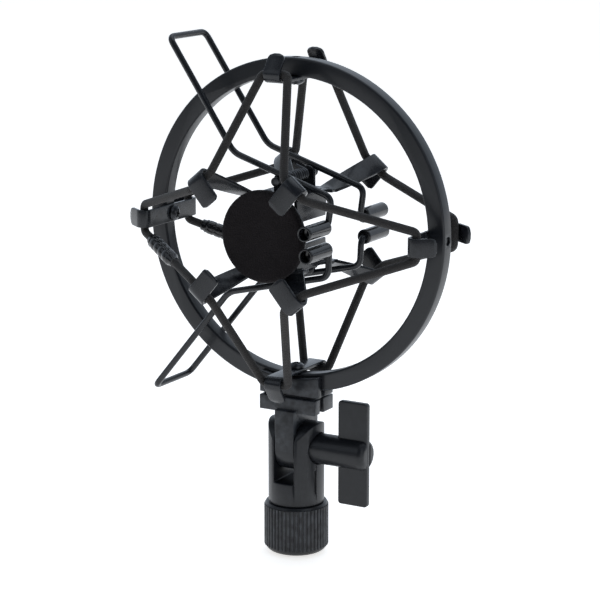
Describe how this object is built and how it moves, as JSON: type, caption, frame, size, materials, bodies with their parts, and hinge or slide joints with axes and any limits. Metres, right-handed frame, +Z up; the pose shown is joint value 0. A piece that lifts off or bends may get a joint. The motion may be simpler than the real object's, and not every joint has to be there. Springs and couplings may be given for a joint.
{
  "type": "elastic microphone shock mount",
  "caption": "Elastic spider shock mount for a studio microphone: hooked spring clamp hung on cord loops in a steel ring, on a tilting swivel with wing screw and knurled stand collar.",
  "frame": {"origin": "mouth of the stand thread, on the stand axis, at the foot of the ribbed collar", "axes": "+Z up along the stand axis; the front, with the pad, faces -Y; +X is to the right seen from the front"},
  "size_m": [0.1246, 0.0654, 0.1874],
  "materials": {
    "black_paint": "satin black paint",
    "steel": "zinc plated",
    "black_screw": "black oxide",
    "elastic": "braided elastic cord",
    "grip": "glossy PVC sleeve",
    "foam": "matte foam"
  },
  "bodies": {
    "collar": {"stand_collar": "black_paint"},
    "swivel": {"swivel_body": "black_paint", "retaining_ring": "steel", "clamp_nut": "steel"},
    "wing_screw": {"wing_barrel": "black_paint", "wing_plate": "black_paint"},
    "head": {"ring_yoke": "black_paint", "suspension_ring": "black_paint", "bracket_top": "black_paint", "bracket_bottom": "black_paint", "bracket_left": "black_paint", "bracket_right": "black_paint", "bracket_screws": "black_screw", "yoke_screw": "black_screw", "elastic_loop_front": "elastic", "elastic_loop_back": "elastic", "cord_sleeve_front": "grip", "cord_sleeve_back": "grip"},
    "cradle": {"cradle_upper_plate": "black_paint", "cradle_lower_plate": "black_paint", "centre_bracket": "black_paint", "plate_rivets": "black_screw", "pad_backing": "black_paint", "pad_spacer": "black_paint", "pad_screw": "black_screw", "front_pad": "foam", "upper_pivot_pin": "black_screw", "lower_pivot_pin": "black_screw", "upper_torsion_spring": "black_screw", "lower_torsion_spring": "black_screw"},
    "upper_lever": {"upper_lever_wire": "black_paint", "upper_lever_bushes": "black_paint", "upper_grip_front": "grip", "upper_grip_back": "grip"},
    "lower_lever": {"lower_lever_wire": "black_paint", "lower_lever_bushes": "black_paint", "lower_grip_front": "grip", "lower_grip_back": "grip"}
  },
  "joints": [
    {"name": "stand_pan", "type": "hinge", "parent": "collar", "child": "swivel", "pos_m": [0, 0, 0.012], "axis": [0, 0, 1], "continuous": true},
    {"name": "wing_turn", "type": "hinge", "parent": "swivel", "child": "wing_screw", "pos_m": [0.012, 0, 0.0395], "axis": [1, 0, 0], "continuous": true},
    {"name": "head_tilt", "type": "hinge", "parent": "swivel", "child": "head", "pos_m": [0, 0, 0.0395], "axis": [1, 0, 0], "range_deg": [-90, 90]},
    {"name": "suspension_travel", "type": "slide", "parent": "head", "child": "cradle", "axis": [0, 0, 1], "range_m": [-0.003, 0.003], "stiffness_N_per_m": 1300, "springref_m": 0.0004, "deforming": ["elastic_loop_front", "elastic_loop_back", "cord_sleeve_front", "cord_sleeve_back"]},
    {"name": "upper_jaw", "type": "hinge", "parent": "cradle", "child": "upper_lever", "pos_m": [0, -0.001, 0.13822], "axis": [0, -1, 0], "range_deg": [0, 15], "stiffness_Nm_per_rad": 0.3, "springref_deg": -28.65},
    {"name": "lower_jaw", "type": "hinge", "parent": "cradle", "child": "lower_lever", "pos_m": [0, -0.001, 0.10414], "axis": [0, 1, 0], "range_deg": [0, 15], "stiffness_Nm_per_rad": 0.3, "springref_deg": -28.65}
  ],
  "couplings": [
    {"joint": "lower_jaw", "follows": "upper_jaw", "ratio": 1}
  ]
}
